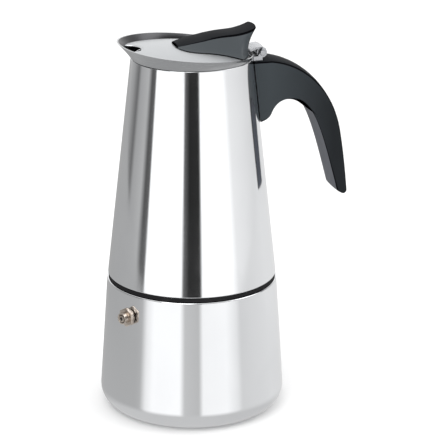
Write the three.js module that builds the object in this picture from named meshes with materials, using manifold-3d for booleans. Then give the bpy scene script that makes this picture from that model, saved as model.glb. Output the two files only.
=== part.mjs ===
// A stove-top moka pot in polished steel, millimetres, +Z up, base centre at the origin.
// The handle is on +X and the pouring lip on -X.
import * as THREE from "three";
import { mergeVertices } from "three/addons/utils/BufferGeometryUtils.js";
import Module from "manifold-3d";

const wasm = await Module();
wasm.setup();

// ---- sizes that can be set one by one ----

const clearance = 0.3; // gap between pieces that rest on, sit in or pass through each other
const wall = 1.0; // sheet of the boiler and the collector

const baseRadius = 50;
const baseCorner = 10.8; // rounding between the floor and the wall
const shoulderRoll = 0.8; // bevel of the boiler's shoulder
const boilerHeight = 72.5; // up to the shoulder that carries the seam ring
const boilerTopRadius = 45.9;

const seamHeight = 2.6; // gap between the two halves
const collectorHeight = 119.1; // wall of the upper half
const collectorInset = 0.4; // the upper half starts this much inside the shoulder
const mouthRadius = 32.3;

const neckRadius = 36.8;
const neckHeight = 11.5; // neck above the shoulder
const threadPitch = 3;
const threadDepth = 0.7;
const threadTurns = 3;
const skirtHeight = 12.6;

const cupDepth = 22;
const stemRadius = 5.5;
const stemFloorGap = 6.5; // the stem ends this far above the boiler's floor
const stemWall = 0.6;
const sheet = 0.8; // sheet of the funnel, floor and column
const cupLedge = 3; // flat rim of the cup's floor that carries the screen
const cupConeDrop = 5;
const sleeveLength = 5; // socket of the cup round the stem

const gasketThickness = 2.8;
const gasketWidth = 7;
const filterThickness = 0.6;
const holeRadius = 1.1;
const holePitch = 7;

const columnFootRadius = 9;
const columnTopRadius = 7;
const columnHeight = 78;
const capHeight = 15;
const capOverlap = 7; // how far the cap reaches down over the column
const capBevel = 2;
const columnSink = 2; // the column starts this far below the floor's hole
const floorRise = 4.6; // the collector's floor climbs this much towards the column

const collarHeight = 5.0; // mean height of the spout collar above the mouth
const collarLean = 3.5; // how much higher the collar is at the lip, and lower at the hinge
const lipPeak = 0.8; // and the lip itself rises this much more
const lipPeakSpread = 0.5; // angle in radians over which that fades
const lipReach = 7.5; // how far the lip stands out past the mouth
const lipSpread = 1.14; // angle in radians over which the lip fades into the round mouth
const collarCurve = 1.15; // above 1 the collar opens faster towards its top
const collarSheet = 0.9;

const lidSheet = 0.8;
const lidGap = 0.6; // between the lid's edge and the collar
const lidSeat = 2.0; // height of the lid's edge above the mouth, at the pot's axis
const lidSlope = 0.075; // the lid climbs towards the lip
const lidLift = 2.0; // and its edge turns up this much more at the lip
const lidLiftSpread = 0.7; // angle in radians over which that fades
const lidDome = 3.8;
const notchRadius = 8; // pouring notch in the lid's edge
const notchDepth = 8;

const pinRadius = 1.0;
const pinReach = 4.4; // from the mouth's wall out to the pin
const pinRise = 1.6; // from the mouth up to the pin
const knuckleWall = 1.5;
const earWall = 1.2; // metal left round the pin in each ear
const pinHead = 0.5; // thickness of the pin's heads, and how much wider they are than the pin
const leafWidth = 12;
const leafThickness = 1.1;
const earThickness = 1.2;

const leverFront = 9.5; // from the pot's axis to the lever's nose
const leverBack = 28; // from the axis to the lever's foot beside the hinge
const leverTail = 34.2; // from the axis to the tip of the thumb rest
const leverTopWidth = 16;
const leverFootWidth = 31;
const leverFlare = 6; // how much wider each side of the foot grows towards the hinge
const leverRise = 9.6; // from the mouth's height to the first crest of the lever
const leverTailRise = 15.2; // from the mouth's height to the tip of the thumb rest
const leverNose = 0.3; // share of the lever's length that the rounded nose takes
const leverNoseTop = 0.7; // width of the nose as a share of the top's
const leverNoseFoot = 0.35; // half-width of the nose's foot as a share of the top's width
const leverScrewPlaces = [3, 18];
const screwRadius = 1.5;
const screwHead = 1.4;
const screwGrip = 3; // length of screw inside the plastic

const handleWidth = 20;
const handleBevel = 0.8;
const handleDrop = 3; // handle top below the mouth
const handleReach = 52.3; // from the mouth's wall out to the handle's tip
const gripHeight = 79; // from the handle's top down to the tip
const tongueThickness = 2;
const tongueLength = 12;
const tongueDrop = 14; // tongue below the handle's top
const tongueTip = 5; // tongue beyond the screw
const tabFoot = 6; // height of the welded plate above and below the tongue
const tabSheet = 1.2;
const handleScrewDrop = 8; // screw head below the tongue
const rootHeight = 33.3; // handle's root, from its top down
const archDrop = 20.5; // top of the finger opening, from the handle's top down
const archReach = 21; // and out from the mouth's wall

const valveHeight = 60.6;
const valveTurn = -150; // degrees round the pot from the handle
const valveShank = 3;
const valveFlats = 9.4;
const valveHexDepth = 1.7;
const valveBarrelRadius = 3.1;
const valveBarrelLength = 3.0;
const valveBore = 2.2;
const valveStem = 0.7;
const valveSeatDepth = 2; // solid end of the shank under the valve's seat
const valvePinHead = 1;
const valveRetainerThickness = 0.9;
const valveWasherThickness = 0.5;
const valveNutThickness = 3;
const springTurns = 5;
const springWire = 0.22;

const ringSegments = 48;
const smallSegments = 20;
const tinySegments = 12;

// ---- places that follow from the sizes ----

const seatZ = boilerHeight + seamHeight; // lower edge of the collector
const mouthZ = seatZ + collectorHeight;
const neckTop = boilerHeight + neckHeight;
const flangeZ = neckTop + clearance;
const gasketZ = flangeZ + sheet + clearance;
const filterZ = gasketZ + gasketThickness + clearance;
const floorZ = filterZ + filterThickness + 3 * clearance;
const skirtInner = neckRadius + 2 * threadDepth + clearance;
const skirtOuter = skirtInner + wall;
const pinX = mouthRadius + pinReach;
const pinZ = mouthZ + pinRise;
const knuckleRadius = pinRadius + clearance + knuckleWall;
const handleTop = mouthZ - handleDrop;

// ---- materials ----

const polished = { color: 0xd2d4d6, roughness: 0.1, metalness: 1 };
const brushed = { color: 0xb9bcbe, roughness: 0.32, metalness: 1 };
const brass = { color: 0xb8a27a, roughness: 0.3, metalness: 1 };
const plastic = { color: 0x1d2024, roughness: 0.38, metalness: 0 };
const rubber = { color: 0x141414, roughness: 0.8, metalness: 0 };
const silicone = { color: 0xe6e3dc, roughness: 0.6, metalness: 0 };

// ---- helpers ----

function blend(from, to, share) {
  return from + (to - from) * share;
}

function boilerRadiusAt(z) {
  return blend(baseRadius, boilerTopRadius, (z - baseCorner) / (boilerHeight - baseCorner));
}

function collectorRadiusAt(z) {
  return blend(boilerTopRadius - collectorInset, mouthRadius, (z - seatZ) / collectorHeight);
}

// Joins shared corners, drops empty faces and turns the faces outward.
function closedGeometry(geometry) {
  const bare = geometry.clone();
  bare.deleteAttribute("normal");
  bare.deleteAttribute("uv");
  const merged = mergeVertices(bare, 1e-4);
  const position = merged.attributes.position;
  const corners = [new THREE.Vector3(), new THREE.Vector3(), new THREE.Vector3()];
  const kept = [];
  let volume = 0;
  for (let i = 0; i < merged.index.count; i += 3) {
    const face = [0, 1, 2].map((k) => merged.index.getX(i + k));
    if (new Set(face).size < 3) continue;
    face.forEach((vertex, k) => corners[k].fromBufferAttribute(position, vertex));
    volume += corners[0].dot(corners[1].clone().cross(corners[2]));
    kept.push(face);
  }
  const outward = volume > 0 ? kept : kept.map(([a, b, c]) => [a, c, b]);
  merged.setIndex(outward.flat());
  return merged;
}

function solidOf(geometry) {
  const closed = closedGeometry(geometry);
  const vertProperties = new Float32Array(closed.attributes.position.array);
  const triVerts = new Uint32Array(closed.index.array);
  return new wasm.Manifold(new wasm.Mesh({ numProp: 3, vertProperties, triVerts }));
}

function geometryOf(solid) {
  const mesh = solid.getMesh();
  const geometry = new THREE.BufferGeometry();
  geometry.setAttribute("position", new THREE.BufferAttribute(mesh.vertProperties, 3));
  geometry.setIndex(new THREE.BufferAttribute(mesh.triVerts, 1));
  return geometry;
}

// Revolves [radius, height] points, or a Path of them, about +Z.
function revolve(profile, segments = ringSegments) {
  const points = Array.isArray(profile)
    ? profile.map(([radius, height]) => new THREE.Vector2(radius, height))
    : profile.getPoints(3);
  return new THREE.LatheGeometry(points, segments).rotateX(Math.PI / 2);
}

// A closed ring or tube from its two radii, which may differ at the bottom and the top.
function tube(bottom, top, outerBottom, outerTop, thickness, segments = ringSegments) {
  return revolve(
    [
      [outerBottom - thickness, bottom],
      [outerBottom, bottom],
      [outerTop, top],
      [outerTop - thickness, top],
      [outerBottom - thickness, bottom],
    ],
    segments,
  );
}

function rod(bottom, top, radius, segments = smallSegments) {
  return revolve([[0, bottom], [radius, bottom], [radius, top], [0, top]], segments);
}

// Extrudes a shape drawn in X and Z, centred on y, with the given width.
function slab(shape, width, y = 0, bevel = 0) {
  const geometry = new THREE.ExtrudeGeometry(shape, {
    depth: width - 2 * bevel,
    curveSegments: 6,
    bevelEnabled: bevel > 0,
    bevelThickness: bevel,
    bevelSize: bevel,
    bevelOffset: -bevel,
    bevelSegments: 2,
  });
  geometry.translate(0, 0, bevel - width / 2);
  return geometry.rotateX(Math.PI / 2).translate(0, y, 0);
}

function hexagon(flats, bottom, top) {
  const across = flats / Math.sqrt(3);
  return revolve([[0, bottom], [across, bottom], [across, top], [0, top]], 6);
}

function box(x0, x1, y0, y1, z0, z1) {
  const geometry = new THREE.BoxGeometry(x1 - x0, y1 - y0, z1 - z0);
  return geometry.translate((x0 + x1) / 2, (y0 + y1) / 2, (z0 + z1) / 2);
}

// The collector's outer cone grown by a gap, and as tall as anything fixed to it.
function collectorCone(gap) {
  const low = seatZ - clearance;
  const high = mouthZ + collarHeight;
  return solidOf(
    revolve([
      [0, low],
      [collectorRadiusAt(low) + gap, low],
      [collectorRadiusAt(high) + gap, high],
      [0, high],
    ]),
  );
}

const pot = new THREE.Group();

function addPiece(name, shape, finish, parent = pot) {
  const geometry = shape instanceof THREE.BufferGeometry ? closedGeometry(shape) : geometryOf(shape);
  geometry.computeVertexNormals();
  const mesh = new THREE.Mesh(geometry, new THREE.MeshStandardMaterial(finish));
  mesh.name = name;
  parent.add(mesh);
  return mesh;
}

// ---- boiler ----

// Points of a wall with rounded thread ribs, climbing from the bottom.
function threadPoints(radius, ribRadius, bottom, top) {
  const points = [[radius, bottom]];
  const middle = (bottom + top) / 2;
  const firstRib = middle - ((threadTurns - 1) * threadPitch) / 2;
  const halfRib = threadPitch / 3;
  for (let turn = 0; turn < threadTurns; turn += 1) {
    const rib = firstRib + turn * threadPitch;
    points.push([radius, rib - halfRib], [ribRadius, rib], [radius, rib + halfRib]);
  }
  points.push([radius, top]);
  return points;
}

function boilerShell() {
  const inner = baseRadius - wall;
  const innerCorner = baseCorner - wall;
  const profile = new THREE.Path();
  profile.moveTo(0, 0);
  profile.lineTo(baseRadius - baseCorner, 0);
  profile.absarc(baseRadius - baseCorner, baseCorner, baseCorner, -Math.PI / 2, 0, false);
  profile.lineTo(boilerTopRadius, boilerHeight - shoulderRoll);
  profile.lineTo(boilerTopRadius - shoulderRoll, boilerHeight);
  threadPoints(neckRadius, neckRadius + threadDepth, boilerHeight, neckTop).forEach(([r, z]) => {
    profile.lineTo(r, z);
  });
  profile.lineTo(neckRadius - wall, neckTop);
  profile.lineTo(neckRadius - wall, boilerHeight - wall);
  profile.lineTo(boilerTopRadius - wall, boilerHeight - wall);
  profile.lineTo(inner, baseCorner);
  profile.absarc(inner - innerCorner, baseCorner, innerCorner, 0, -Math.PI / 2, true);
  profile.lineTo(0, wall);
  const shell = solidOf(revolve(profile));
  const hole = rod(boilerRadiusAt(boilerHeight) - 4 * wall, baseRadius + wall, valveShank + clearance);
  return shell.subtract(solidOf(toValve(hole)));
}

// Turns a piece drawn along +Z so that it points out of the boiler at the valve.
function toValve(geometry) {
  geometry.rotateY(Math.PI / 2).rotateZ(THREE.MathUtils.degToRad(valveTurn));
  return geometry.translate(0, 0, valveHeight);
}

addPiece("boiler_shell", boilerShell(), polished);

const ringOuter = boilerTopRadius - collectorInset - clearance;
const ringWall = ringOuter - skirtOuter - clearance;
addPiece(
  "seam_ring",
  tube(boilerHeight + clearance, seatZ - clearance, ringOuter, ringOuter, ringWall),
  rubber,
);

// ---- safety valve ----

const valve = new THREE.Group();
valve.position.z = valveHeight;
valve.rotation.set(0, Math.PI / 2, THREE.MathUtils.degToRad(valveTurn), "ZYX");
pot.add(valve);

// Distances out from the pot's axis.
const washerRadius = valveFlats / 2 - clearance;
const nutCorner = valveFlats / Math.sqrt(3);
const washerStart = boilerRadiusAt(valveHeight - washerRadius) + clearance;
const hexStart = washerStart + valveWasherThickness + clearance;
const barrelStart = hexStart + valveHexDepth;
const barrelEnd = barrelStart + valveBarrelLength;
const innerRadius = boilerRadiusAt(valveHeight + nutCorner) - wall;
const innerWall = Math.sqrt(innerRadius ** 2 - nutCorner ** 2);
const nutEnd = innerWall - 2 * clearance;
const nutStart = nutEnd - valveNutThickness;
const shankStart = nutStart - clearance;
const seatStart = shankStart + valveSeatDepth;

function valveBody() {
  const shank = solidOf(rod(shankStart, barrelEnd, valveShank));
  const barrel = solidOf(rod(barrelStart - clearance, barrelEnd, valveBarrelRadius));
  const bore = solidOf(rod(seatStart, barrelEnd + clearance, valveBore));
  const inlet = solidOf(rod(shankStart - clearance, barrelEnd, valveBore / 2));
  const head = solidOf(hexagon(valveFlats, hexStart, barrelStart));
  return shank.add(barrel).add(head).subtract(bore).subtract(inlet);
}

function valvePin() {
  const headRadius = valveBore - 2 * clearance;
  const headStart = seatStart + clearance;
  const headEnd = headStart + valvePinHead;
  const tip = barrelEnd - valveRetainerThickness / 2;
  return revolve(
    [
      [0, headStart],
      [headRadius, headStart],
      [headRadius, headEnd],
      [valveStem, headEnd],
      [valveStem, tip],
      [0, tip],
    ],
    tinySegments,
  );
}

class Helix extends THREE.Curve {
  constructor(radius, start, end, turns) {
    super();
    Object.assign(this, { radius, start, end, turns });
  }

  getPoint(share, target = new THREE.Vector3()) {
    const angle = share * this.turns * 2 * Math.PI;
    const height = blend(this.start, this.end, share);
    return target.set(this.radius * Math.cos(angle), this.radius * Math.sin(angle), height);
  }
}

function valveSpring() {
  const coilRadius = (valveBore + valveStem) / 2 - clearance / 4;
  const start = seatStart + valvePinHead + 2 * clearance + springWire;
  const end = barrelEnd - valveRetainerThickness - clearance - springWire;
  const section = new THREE.Shape().absarc(0, 0, springWire, 0, 2 * Math.PI);
  return new THREE.ExtrudeGeometry(new THREE.Shape(section.getPoints(3)), {
    steps: springTurns * tinySegments,
    extrudePath: new Helix(coilRadius, start, end, springTurns),
  });
}

function valveNut() {
  const bore = solidOf(rod(nutStart - clearance, nutEnd + clearance, valveShank + clearance));
  return solidOf(hexagon(valveFlats, nutStart, nutEnd)).subtract(bore);
}

const washerHole = valveShank + clearance;
addPiece("valve_body", valveBody(), brass, valve);
addPiece(
  "valve_washer",
  tube(
    washerStart,
    washerStart + valveWasherThickness,
    washerRadius,
    washerRadius,
    washerRadius - washerHole,
    smallSegments,
  ),
  brass,
  valve,
);
addPiece("valve_nut", valveNut(), brass, valve);
addPiece("valve_pin", valvePin(), brushed, valve);
addPiece("valve_spring", valveSpring(), brushed, valve);
const retainerRadius = valveBore - clearance;
addPiece(
  "valve_retainer",
  tube(
    barrelEnd - valveRetainerThickness,
    barrelEnd,
    retainerRadius,
    retainerRadius,
    retainerRadius - valveStem - clearance,
    tinySegments,
  ),
  brass,
  valve,
);

// ---- funnel and filters ----

const cupRadius = neckRadius - wall - clearance;
const cupFloorZ = flangeZ - cupDepth;
const sleeveRadius = stemRadius + clearance + sheet;

function funnelCup() {
  const inner = cupRadius - sheet;
  const flangeRadius = neckRadius + threadDepth / 2;
  const coneZ = cupFloorZ - cupConeDrop;
  return revolve([
    [stemRadius + clearance, coneZ - sleeveLength],
    [sleeveRadius, coneZ - sleeveLength],
    [sleeveRadius, coneZ - sheet],
    [cupRadius - cupLedge, cupFloorZ - sheet],
    [cupRadius, cupFloorZ - sheet],
    [cupRadius, flangeZ],
    [flangeRadius, flangeZ],
    [flangeRadius, flangeZ + sheet],
    [inner, flangeZ + sheet],
    [inner, cupFloorZ],
    [cupRadius - cupLedge, cupFloorZ],
    [stemRadius + clearance, coneZ],
    [stemRadius + clearance, coneZ - sleeveLength],
  ]);
}

// A flat disc with rings of round holes.
function perforatedDisc(radius, bottom, thickness) {
  const disc = solidOf(rod(bottom, bottom + thickness, radius, ringSegments));
  const rings = Math.floor((radius - 2 * holeRadius - sheet) / holePitch);
  const holes = [];
  for (let ring = 1; ring <= rings; ring += 1) {
    for (let step = 0; step < 6 * ring; step += 1) {
      const angle = (step / (6 * ring)) * 2 * Math.PI;
      const hole = rod(bottom - 1, bottom + thickness + 1, holeRadius, 6);
      hole.translate(ring * holePitch * Math.cos(angle), ring * holePitch * Math.sin(angle), 0);
      holes.push(solidOf(hole));
    }
  }
  return disc.subtract(wasm.Manifold.union(holes));
}

const stemTop = cupFloorZ - cupConeDrop - clearance;
addPiece("funnel_cup", funnelCup(), brushed);
addPiece(
  "funnel_stem",
  tube(wall + stemFloorGap, stemTop, stemRadius, stemRadius, stemWall, smallSegments),
  brushed,
);
const screenZ = cupFloorZ + clearance;
addPiece("funnel_screen", perforatedDisc(cupRadius - sheet - clearance, screenZ, filterThickness), brushed);
const gasketRadius = neckRadius + threadDepth;
addPiece(
  "gasket",
  tube(gasketZ, gasketZ + gasketThickness, gasketRadius, gasketRadius, gasketWidth),
  silicone,
);
addPiece("filter_plate", perforatedDisc(gasketRadius, filterZ, filterThickness), brushed);

// ---- collector ----

addPiece(
  "collector_shell",
  tube(seatZ, mouthZ, collectorRadiusAt(seatZ), mouthRadius, wall),
  polished,
);

function collectorFloor() {
  const hole = columnFootRadius + clearance;
  const bend = skirtInner;
  const edge = collectorRadiusAt(floorZ + sheet) - wall - clearance;
  return revolve([
    [hole, floorZ + floorRise],
    [bend, floorZ],
    [edge, floorZ],
    [edge, floorZ + sheet],
    [bend, floorZ + sheet],
    [hole, floorZ + floorRise + sheet],
    [hole, floorZ + floorRise],
  ]);
}

function threadedSkirt() {
  const top = floorZ - clearance;
  const bottom = top - skirtHeight;
  const inside = threadPoints(skirtInner, skirtInner - threadDepth, bottom, top - threadPitch);
  return revolve([
    [skirtOuter, bottom],
    [skirtOuter, top],
    [skirtInner, top],
    ...inside.reverse(),
    [skirtOuter, bottom],
  ]);
}

addPiece("collector_floor", collectorFloor(), brushed);
addPiece("threaded_skirt", threadedSkirt(), brushed);

const columnZ = floorZ + floorRise - columnSink;
const columnTop = columnZ + columnHeight;

function columnCap() {
  const inner = columnTopRadius + clearance + sheet / 2;
  const outer = inner + sheet;
  const bottom = columnTop - capOverlap;
  const top = bottom + capHeight;
  const cap = solidOf(
    revolve(
      [
        [inner, bottom],
        [outer, bottom],
        [outer, top - capBevel],
        [outer - capBevel, top],
        [0, top],
        [0, top - sheet],
        [inner - capBevel, top - sheet],
        [inner, top - capBevel - sheet],
        [inner, bottom],
      ],
      32,
    ),
  );
  const half = columnTopRadius / 2;
  const windowTop = top - capBevel - 2 * sheet;
  const window = box(-half, half, -2 * outer, 2 * outer, columnTop + clearance, windowTop);
  return cap.subtract(solidOf(window));
}

addPiece("column", tube(columnZ, columnTop, columnFootRadius, columnTopRadius, sheet, 32), brushed);
addPiece("column_cap", columnCap(), brushed);

// ---- spout collar ----

// The angle from the lip, in the range -pi to pi.
function fromLip(x, y) {
  return Math.atan2(y, -x);
}

function collarTop(angle) {
  const peak = lipPeak * Math.exp(-((angle / lipPeakSpread) ** 2));
  return mouthZ + collarHeight + collarLean * Math.cos(angle) + peak;
}

// Outer radius of the collar at a share of its height.
function collarRadius(angle, share) {
  const reach = lipReach * Math.exp(-((angle / lipSpread) ** 2));
  return mouthRadius + reach * share ** collarCurve;
}

function spoutCollar() {
  const rows = 4;
  const outside = 2;
  const inside = 1;
  const profile = [];
  for (let row = 0; row <= rows; row += 1) profile.push([outside, row / rows]);
  for (let row = rows; row >= 0; row -= 1) profile.push([inside, row / rows]);
  profile.push(profile[0]);
  const geometry = revolve(profile);
  const position = geometry.attributes.position;
  const foot = mouthZ + clearance;
  for (let i = 0; i < position.count; i += 1) {
    const angle = fromLip(position.getX(i), position.getY(i));
    const share = Math.max(0, position.getZ(i));
    const isInside = Math.hypot(position.getX(i), position.getY(i)) < (inside + outside) / 2;
    const radius = collarRadius(angle, share) - (isInside ? collarSheet : 0);
    const z = blend(foot, collarTop(angle), share);
    position.setXYZ(i, -radius * Math.cos(angle), radius * Math.sin(angle), z);
  }
  return geometry;
}

addPiece("spout_collar", spoutCollar(), brushed);

// ---- lid ----

// Height of the lid's tilted edge at x, turned up towards the lip.
function lidEdgeZ(x, angle) {
  return mouthZ + lidSeat - lidSlope * x + lidLift * Math.exp(-((angle / lidLiftSpread) ** 2));
}

function lidRadius(angle) {
  const height = lidEdgeZ(-mouthRadius * Math.cos(angle), angle) - mouthZ;
  const share = Math.max(0, height / (collarTop(angle) - mouthZ));
  return collarRadius(angle, share) - Math.max(collarSheet, wall) - lidGap;
}

// Mid-height of the lid's sheet.
function lidZ(x, y) {
  const angle = fromLip(x, y);
  const share = Math.hypot(x, y) / lidRadius(angle);
  const lift = (lidEdgeZ(x, angle) - lidEdgeZ(x, Math.PI)) * (share ** 4 - 1);
  return lidEdgeZ(x, angle) + lift + lidDome * (1 - share ** 2);
}

function lidPlate() {
  const rings = 6;
  const profile = [];
  for (let ring = 0; ring <= rings; ring += 1) profile.push([ring / rings, -1]);
  for (let ring = rings; ring >= 0; ring -= 1) profile.push([ring / rings, 1]);
  const geometry = revolve(profile);
  const position = geometry.attributes.position;
  for (let i = 0; i < position.count; i += 1) {
    const angle = fromLip(position.getX(i), position.getY(i));
    const radius = Math.hypot(position.getX(i), position.getY(i)) * lidRadius(angle);
    const x = -radius * Math.cos(angle);
    const y = radius * Math.sin(angle);
    position.setXYZ(i, x, y, lidZ(x, y) + (position.getZ(i) * lidSheet) / 2);
  }
  return solidOf(geometry);
}

// The tab that climbs from the lid over the collar and rolls round the pin.
function hingeLeaf() {
  const foot = lidRadius(Math.PI) - leafThickness / 2;
  const footZ = lidZ(foot, 0);
  const top = pinZ + knuckleRadius;
  const shape = new THREE.Shape();
  shape.moveTo(foot, footZ - lidSheet / 3);
  shape.lineTo(foot, collarTop(Math.PI) + lidGap);
  shape.lineTo(pinX - knuckleRadius, top - leafThickness);
  shape.lineTo(pinX, top - leafThickness);
  shape.lineTo(pinX, top);
  shape.lineTo(pinX - knuckleRadius - leafThickness / 2, top);
  shape.lineTo(foot - leafThickness, collarTop(Math.PI) + lidGap + leafThickness / 2);
  shape.lineTo(foot - leafThickness, footZ + lidSheet / 3);
  shape.lineTo(foot - leafThickness, footZ - lidSheet / 3);
  const knuckle = alongY(rod(-leafWidth / 2, leafWidth / 2, knuckleRadius), pinX, pinZ);
  return solidOf(slab(shape, leafWidth)).add(solidOf(knuckle));
}

// Turns a piece drawn along +Z so that it lies along Y at the given place.
function alongY(geometry, x, z) {
  return geometry.rotateX(Math.PI / 2).translate(x, 0, z);
}

function pinHole(gap) {
  return solidOf(alongY(rod(-2 * leafWidth, 2 * leafWidth, pinRadius + gap), pinX, pinZ));
}

function screwHole(x, gap) {
  const low = lidZ(x, 0) - lidSheet - screwGrip;
  const high = lidZ(x, 0) + lidSheet / 2 + clearance + screwGrip + gap;
  return solidOf(rod(low, high, screwRadius + gap, tinySegments).translate(x, 0, 0));
}

function lid() {
  const notchX = -(lidRadius(0) - notchDepth + notchRadius);
  const notch = solidOf(rod(mouthZ, mouthZ + 2 * leverRise, notchRadius, 32).translate(notchX, 0, 0));
  let plate = lidPlate().add(hingeLeaf()).subtract(pinHole(clearance)).subtract(notch);
  for (const x of leverScrewPlaces) plate = plate.subtract(screwHole(x, clearance));
  return plate;
}

addPiece("lid_plate", lid(), brushed);

function hingePin() {
  const half = leafWidth / 2 + clearance + earThickness + clearance;
  const headRadius = pinRadius + pinHead;
  const profile = [
    [0, -half - pinHead],
    [headRadius, -half - pinHead],
    [headRadius, -half],
    [pinRadius, -half],
    [pinRadius, half],
    [headRadius, half],
    [headRadius, half + pinHead],
    [0, half + pinHead],
  ];
  return alongY(revolve(profile, smallSegments), pinX, pinZ);
}

// Two ears that carry the pin, joined by a strap on the collector's wall.
function hingeBracket() {
  const earRadius = pinRadius + clearance + earWall;
  const earY = leafWidth / 2 + clearance + earThickness / 2;
  const low = handleTop + clearance;
  const high = mouthZ - clearance;
  const strap = box(0, pinX - knuckleRadius - clearance, -earY, earY, low, high);
  const arm = new THREE.Shape();
  arm.moveTo(0, low);
  arm.lineTo(pinX, low);
  arm.absarc(pinX, pinZ, earRadius, -Math.PI / 2, Math.PI / 2, false);
  arm.lineTo(pinX - earRadius, high);
  arm.lineTo(0, high);
  let bracket = solidOf(strap);
  for (const side of [-1, 1]) bracket = bracket.add(solidOf(slab(arm, earThickness, side * earY)));
  return bracket.subtract(pinHole(clearance)).subtract(collectorCone(clearance));
}

addPiece("hinge_pin", hingePin(), brushed);
addPiece("hinge_bracket", hingeBracket(), brushed);

// ---- thumb lever ----

// Crest of the lever along its length, from the nose at 0 to the tail at 1.
const leverCrest = new THREE.SplineCurve([
  new THREE.Vector2(0, lidZ(-leverFront, 0) - mouthZ + 4 * clearance),
  new THREE.Vector2(0.1, leverRise - 0.6),
  new THREE.Vector2(0.25, leverRise + 1),
  new THREE.Vector2(0.42, leverRise + 2),
  new THREE.Vector2(0.6, leverRise + 2.3),
  new THREE.Vector2(0.78, blend(leverRise, leverTailRise, 0.6)),
  new THREE.Vector2(1, leverTailRise),
]);

function thumbLever() {
  const lengthSteps = 16;
  const widthSteps = 6;
  const heightSteps = 3;
  const geometry = new THREE.BoxGeometry(1, 1, 1, lengthSteps, widthSteps, heightSteps);
  const position = geometry.attributes.position;
  for (let i = 0; i < position.count; i += 1) {
    const along = Math.max(0, position.getX(i) + 0.5);
    const side = 2 * position.getY(i);
    const up = Math.max(0, position.getZ(i) + 0.5);
    const nose = Math.sqrt(1 - (1 - Math.min(1, along / leverNose)) ** 2);
    const topHalf = (leverTopWidth / 2) * blend(leverNoseTop, 1, nose);
    const footHalf = blend(leverNoseFoot * leverTopWidth, leverFootWidth / 2, nose);
    const skirtHalf = footHalf + leverFlare * along ** 3;
    const footX = blend(-leverFront, leverBack, along);
    const lidHalf = Math.sqrt((lidRadius(Math.PI) - lidGap) ** 2 - footX ** 2);
    const flare = up ** 0.6;
    const x = blend(footX, blend(-leverFront, leverTail, along), up ** 2);
    const y = side * blend(Math.min(skirtHalf, lidHalf), topHalf, flare);
    const foot = lidZ(x, y) + lidSheet / 2 + clearance;
    const crest = mouthZ + leverCrest.getPoint(along).y;
    position.setXYZ(i, x, y, blend(foot, crest, up));
  }
  let lever = solidOf(geometry);
  for (const x of leverScrewPlaces) lever = lever.subtract(screwHole(x, clearance));
  return lever;
}

function leverScrew(x) {
  const headRadius = 2 * screwRadius;
  const under = lidZ(x + headRadius, 0) - lidSheet / 2 - clearance;
  const top = lidZ(x, 0) + lidSheet / 2 + clearance + screwGrip;
  const profile = [
    [0, under - screwHead],
    [headRadius, under - screwHead],
    [headRadius, under],
    [screwRadius, under],
    [screwRadius, top],
    [0, top],
  ];
  return revolve(profile, tinySegments).translate(x, 0, 0);
}

addPiece("thumb_lever", thumbLever(), plastic);
leverScrewPlaces.forEach((x, place) => addPiece(`lever_screw_${place + 1}`, leverScrew(x), brushed));

// ---- handle ----

const screwX = mouthRadius + tongueLength - clearance;
const tongueZ = handleTop - tongueDrop;
const screwHeadZ = tongueZ - handleScrewDrop;

// A steel plate welded to the collector with a tongue that reaches into the handle.
function handleTab(gap) {
  const half = handleWidth / 4 + gap;
  const plateHalf = tongueThickness / 2 + tabFoot + gap;
  const low = tongueZ - plateHalf;
  const plateX = collectorRadiusAt(low) + 2 * clearance + tabSheet + gap;
  const plate = box(0, plateX, -half, half, low, tongueZ + plateHalf);
  const tip = mouthRadius + tongueLength + tongueTip + gap;
  const tongueHalf = tongueThickness / 2 + gap;
  const tongue = box(0, tip, -half, half, tongueZ - tongueHalf, tongueZ + tongueHalf);
  return solidOf(plate).add(solidOf(tongue));
}

function handleScrew(gap) {
  const top = tongueZ + 2 * tongueThickness + gap;
  const headRadius = 2 * screwRadius + gap;
  const headTop = screwHeadZ + gap;
  const headBottom = gap > 0 ? screwHeadZ - archDrop : screwHeadZ - screwHead;
  const profile = [
    [0, headBottom],
    [headRadius, headBottom],
    [headRadius, headTop],
    [screwRadius + gap, headTop],
    [screwRadius + gap, top],
    [0, top],
  ];
  return solidOf(revolve(profile, tinySegments).translate(screwX, 0, 0));
}

// The ear: out from the mouth, over a round shoulder and down to a pointed tip.
function handleShape() {
  const tipX = mouthRadius + handleReach;
  const tipZ = handleTop - gripHeight + 3;
  const archX = mouthRadius + archReach;
  const archZ = handleTop - archDrop;
  const rootZ = handleTop - rootHeight;
  const shape = new THREE.Shape();
  shape.moveTo(0, handleTop);
  shape.lineTo(mouthRadius + 9, handleTop);
  shape.bezierCurveTo(
    mouthRadius + 26, handleTop - 2,
    tipX - 8.5, handleTop - 16,
    tipX - 4.3, handleTop - 42,
  );
  shape.quadraticCurveTo(tipX - 2, handleTop - 55, tipX, tipZ);
  shape.lineTo(tipX - 0.8, tipZ - 1.8);
  shape.lineTo(tipX - 4.2, tipZ - 0.4);
  shape.bezierCurveTo(
    tipX - 15, tipZ + 33,
    archX + 10, archZ + 0.5,
    archX, archZ,
  );
  shape.quadraticCurveTo(archX - 8, archZ - 0.5, archX - 11.5, archZ - 7.5);
  shape.quadraticCurveTo(archX - 12.5, archZ - 10.5, archX - 18, rootZ);
  shape.lineTo(0, rootZ);
  return shape;
}

function handle() {
  const blank = solidOf(slab(handleShape(), handleWidth, 0, handleBevel));
  return blank
    .subtract(collectorCone(clearance))
    .subtract(handleTab(clearance))
    .subtract(handleScrew(clearance));
}

addPiece("handle", handle(), plastic);
addPiece(
  "handle_tab",
  handleTab(0).subtract(collectorCone(clearance)).subtract(handleScrew(clearance)),
  brushed,
);
addPiece("handle_screw", handleScrew(0), brushed);

export default pot;
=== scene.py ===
import math
import bmesh
import bpy
from mathutils import Matrix, Vector
from mathutils.geometry import interpolate_bezier


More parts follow.
